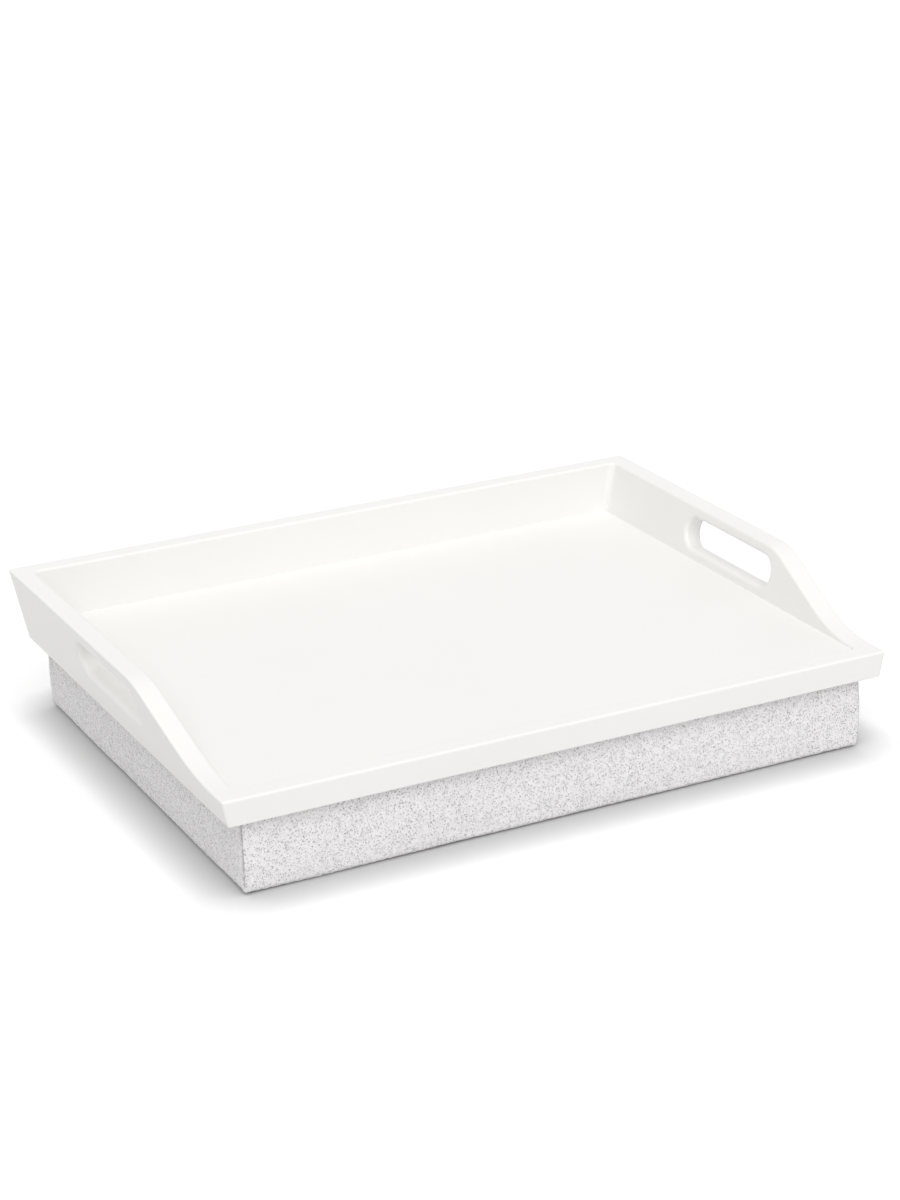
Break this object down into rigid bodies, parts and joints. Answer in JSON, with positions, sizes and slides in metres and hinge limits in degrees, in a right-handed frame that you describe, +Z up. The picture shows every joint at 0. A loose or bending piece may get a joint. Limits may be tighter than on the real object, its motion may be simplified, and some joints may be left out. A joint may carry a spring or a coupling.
{
  "type": "lap tray with cushion",
  "caption": "White painted lap tray with leaning sides, hand holes and a low front rail, on a detachable boxed cushion in pale heathered fabric.",
  "frame": {"origin": "middle of the cushion's underside, below the middle of the tray", "axes": "+X to the right along the front rail, +Y from the front rail to the back rail, +Z up"},
  "size_m": [0.4444, 0.328, 0.0943],
  "materials": {
    "painted_wood": "satin white paint",
    "bare_wood": "plain beech",
    "hook_tape": "matte white hook tape",
    "loop_tape": "matte white loop tape",
    "heather_fabric": "matte pale grey heathered weave",
    "foam": "matte open-cell foam",
    "zip_tape": "matte woven tape",
    "zip_coil": "satin nylon",
    "zip_metal": "satin nickel plate"
  },
  "bodies": {
    "cushion": {"loop_strip_front": "loop_tape", "loop_strip_back": "loop_tape", "loop_strip_left": "loop_tape", "loop_strip_right": "loop_tape", "cushion_top_panel": "heather_fabric", "cushion_bottom_panel": "heather_fabric", "cushion_front_panel": "heather_fabric", "cushion_left_panel": "heather_fabric", "cushion_right_panel": "heather_fabric", "zip_band_upper": "heather_fabric", "zip_band_lower": "heather_fabric", "foam_core": "foam", "zip_tape_upper": "zip_tape", "zip_tape_lower": "zip_tape", "zip_coil_upper": "zip_coil", "zip_coil_lower": "zip_coil", "zip_end_stops": "zip_metal"},
    "tray": {"tray_floor": "painted_wood", "front_rail": "painted_wood", "back_rail": "painted_wood", "left_side": "painted_wood", "right_side": "painted_wood", "corner_dowels": "bare_wood", "hook_strip_front": "hook_tape", "hook_strip_back": "hook_tape", "hook_strip_left": "hook_tape", "hook_strip_right": "hook_tape"},
    "zip_slider": {"zip_slider": "zip_metal"},
    "zip_pull": {"zip_pull": "zip_metal"}
  },
  "joints": [
    {"name": "tray_lift", "type": "slide", "parent": "cushion", "child": "tray", "axis": [0, 0, 1], "range_m": [0, 0.12]},
    {"name": "zip_slide", "type": "slide", "parent": "cushion", "child": "zip_slider", "axis": [-1, 0, 0], "range_m": [0, 0.3023]},
    {"name": "pull_swing", "type": "hinge", "parent": "zip_slider", "child": "zip_pull", "pos_m": [0.15115, 0.1614, 0.025], "axis": [0, 0, -1], "range_deg": [0, 180]}
  ]
}
